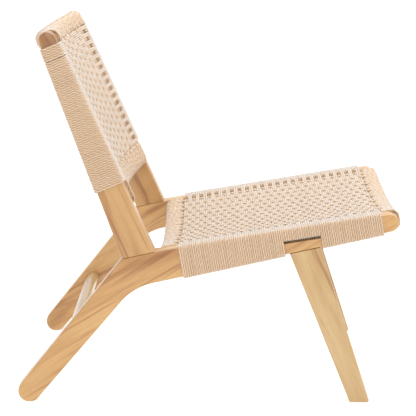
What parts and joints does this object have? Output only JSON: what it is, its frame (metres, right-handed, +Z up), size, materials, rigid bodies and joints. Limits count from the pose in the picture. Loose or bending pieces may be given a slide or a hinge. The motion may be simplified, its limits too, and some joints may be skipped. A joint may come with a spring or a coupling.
{
  "type": "lounge chair",
  "caption": "Low armless lounge chair: a light hardwood frame with splayed legs, and a seat and reclined back woven from paper cord.",
  "frame": {"origin": "On the floor under the middle of the chair's bounding box.", "axes": "+X is the width, towards the sitter's left; the front of the seat points along -Y; +Z is up."},
  "size_m": [0.6098, 0.7685, 0.7447],
  "materials": {
    "frame_wood": "Light straight-grained hardwood with a matt clear oil finish and softly rounded edges.",
    "dowel_wood": "Plain unfinished hardwood dowel, glued in.",
    "paper_cord": "Natural twisted kraft paper cord, matt, wound and woven in pairs."
  },
  "bodies": {
    "root": {"back_bottom_bar": "frame_wood", "back_bottom_bar_wrap": "paper_cord", "back_post_left": "frame_wood", "back_post_right": "frame_wood", "back_top_bar": "frame_wood", "back_top_bar_wrap": "paper_cord", "back_weave": "paper_cord", "front_leg_left": "frame_wood", "front_leg_right": "frame_wood", "leg_dowel_left_front": "dowel_wood", "leg_dowel_left_rear": "dowel_wood", "leg_dowel_right_front": "dowel_wood", "leg_dowel_right_rear": "dowel_wood", "post_dowel_left_front": "dowel_wood", "post_dowel_left_rear": "dowel_wood", "post_dowel_right_front": "dowel_wood", "post_dowel_right_rear": "dowel_wood", "post_wrap_left": "paper_cord", "post_wrap_right": "paper_cord", "rail_wrap_left_front": "paper_cord", "rail_wrap_left_rear": "paper_cord", "rail_wrap_left_slot": "paper_cord", "rail_wrap_right_front": "paper_cord", "rail_wrap_right_rear": "paper_cord", "rail_wrap_right_slot": "paper_cord", "rear_stretcher": "frame_wood", "seat_front_bar": "frame_wood", "seat_front_bar_wrap": "paper_cord", "seat_rear_bar": "frame_wood", "seat_rear_bar_wrap": "paper_cord", "seat_weave": "paper_cord", "side_frame_left": "frame_wood", "side_frame_right": "frame_wood"}
  },
  "joints": []
}
